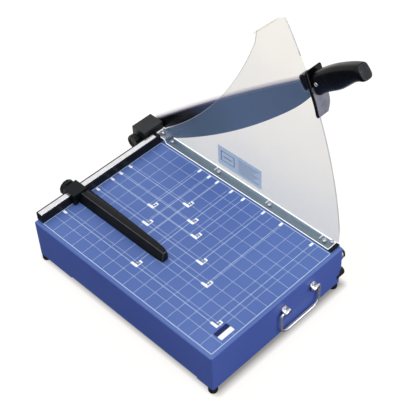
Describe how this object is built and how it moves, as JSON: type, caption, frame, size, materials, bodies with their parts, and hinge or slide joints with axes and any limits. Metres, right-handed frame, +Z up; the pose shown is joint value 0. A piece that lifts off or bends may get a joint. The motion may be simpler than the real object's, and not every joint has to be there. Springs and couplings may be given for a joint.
{
  "type": "guillotine paper cutter",
  "caption": "Guillotine paper cutter: blue steel bed with a printed grid, swinging blade lever with grip and hand guard, clear guard, back rail with a sliding gauge, and a wire carrying handle.",
  "frame": {"origin": "bottom centre of the whole cutter with its lever raised, on the surface that its feet stand on", "axes": "+Z up, +X towards the cutting edge, -Y towards the operator's end where the carrying handle is"},
  "size_m": [0.3346, 0.4737, 0.4854],
  "materials": {
    "enamel": "blue enamel on sheet steel",
    "black_metal": "black satin paint on metal",
    "black_plastic": "moulded, satin black",
    "chrome": "polished plating",
    "zinc_steel": "bright zinc plating",
    "tool_steel": "ground tool steel",
    "blade_steel": "dark coated steel",
    "arm_metal": "silver finish",
    "strip_metal": "grey plated strip",
    "bronze": "bearing bronze",
    "rubber": "black rubber",
    "clear_sheet": "clear acrylic sheet"
  },
  "bodies": {
    "base": {"base_housing": "enamel", "foot_front_left": "rubber", "foot_front_right": "rubber", "foot_back_left": "rubber", "foot_back_right": "rubber", "lower_knife": "tool_steel", "knife_screw_1": "zinc_steel", "knife_screw_2": "zinc_steel", "knife_screw_3": "zinc_steel", "knife_screw_4": "zinc_steel", "back_rail": "black_metal", "rail_strip": "chrome", "rail_screw_1": "zinc_steel", "rail_screw_2": "zinc_steel", "pivot_block": "black_metal", "block_screw_1": "zinc_steel", "block_screw_2": "zinc_steel", "pivot_bolt": "zinc_steel", "thrust_washer": "bronze", "disc_spring": "zinc_steel", "safety_guard": "clear_sheet", "hold_down_strip": "strip_metal", "guard_screw_1": "zinc_steel", "guard_screw_2": "zinc_steel", "guard_screw_3": "zinc_steel", "guard_screw_4": "zinc_steel", "guard_rear_bracket": "zinc_steel", "guard_rear_screw": "zinc_steel", "guard_end_clip": "black_plastic", "saddle_left": "chrome", "saddle_right": "chrome", "saddle_rivet_1": "chrome", "saddle_rivet_2": "chrome", "saddle_rivet_3": "chrome", "saddle_rivet_4": "chrome", "stop_buffer": "rubber", "buffer_screw": "zinc_steel", "side_foot": "rubber"},
    "lever": {"blade": "blade_steel", "lever_arm": "arm_metal", "blade_screw_1": "zinc_steel", "blade_screw_2": "zinc_steel", "blade_screw_3": "zinc_steel", "blade_screw_4": "zinc_steel", "pivot_bush": "bronze", "handle_collar": "black_plastic", "hand_guard": "black_plastic", "grip": "black_plastic", "grip_screw": "zinc_steel"},
    "pivot_knob": {"pivot_knob": "black_plastic"},
    "gauge": {"gauge_block": "black_plastic", "gauge_arm": "black_plastic", "clamp_shoe": "bronze"},
    "clamp_knob": {"clamp_knob": "black_plastic", "clamp_screw": "zinc_steel"},
    "bail": {"carry_bail": "chrome"}
  },
  "joints": [
    {"name": "lever_swing", "type": "hinge", "parent": "base", "child": "lever", "pos_m": [0.14175, 0.21731, 0.0985], "axis": [1, 0, 0], "range_deg": [0, 38.5]},
    {"name": "pivot_knob_turn", "type": "hinge", "parent": "base", "child": "pivot_knob", "pos_m": [0.09345, 0.21731, 0.0985], "axis": [-1, 0, 0], "range_deg": [-180, 180]},
    {"name": "gauge_slide", "type": "slide", "parent": "base", "child": "gauge", "axis": [1, 0, 0], "range_m": [-0.06, 0.135]},
    {"name": "clamp_turn", "type": "hinge", "parent": "gauge", "child": "clamp_knob", "pos_m": [-0.07925, 0.20661, 0.1015], "axis": [0, 1, 0], "range_deg": [-180, 180]},
    {"name": "bail_swing", "type": "hinge", "parent": "base", "child": "bail", "pos_m": [0.03095, -0.22759, 0.0625], "axis": [-1, 0, 0], "range_deg": [0, 165]}
  ]
}
